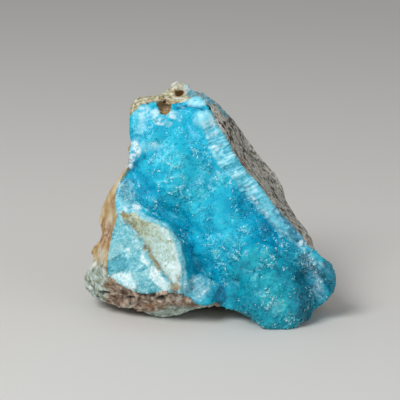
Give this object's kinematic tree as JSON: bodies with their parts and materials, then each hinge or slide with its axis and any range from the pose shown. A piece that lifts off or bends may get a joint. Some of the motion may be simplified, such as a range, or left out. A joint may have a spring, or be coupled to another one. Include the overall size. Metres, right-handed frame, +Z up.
{
  "type": "hemimorphite specimen",
  "caption": "Hand-sized mineral specimen: a lumpy blue crystal crust on brown and grey host rock, standing on its broken base.",
  "frame": {"origin": "on the floor, under the middle of the specimen's box", "axes": "+Z up, +Y from the crystal crust at the front towards the bare rock at the back, +X to the right seen from the front"},
  "size_m": [0.0713, 0.044, 0.0641],
  "materials": {
    "hemimorphite": "sparkling fine crystal crust, deep blue in its hollows, white-blue on broken edges",
    "host_rock": "matt, pitted brown and speckled grey rock"
  },
  "bodies": {
    "root": {"hemimorphite_crust": "hemimorphite", "host_rock": "host_rock"}
  },
  "joints": []
}
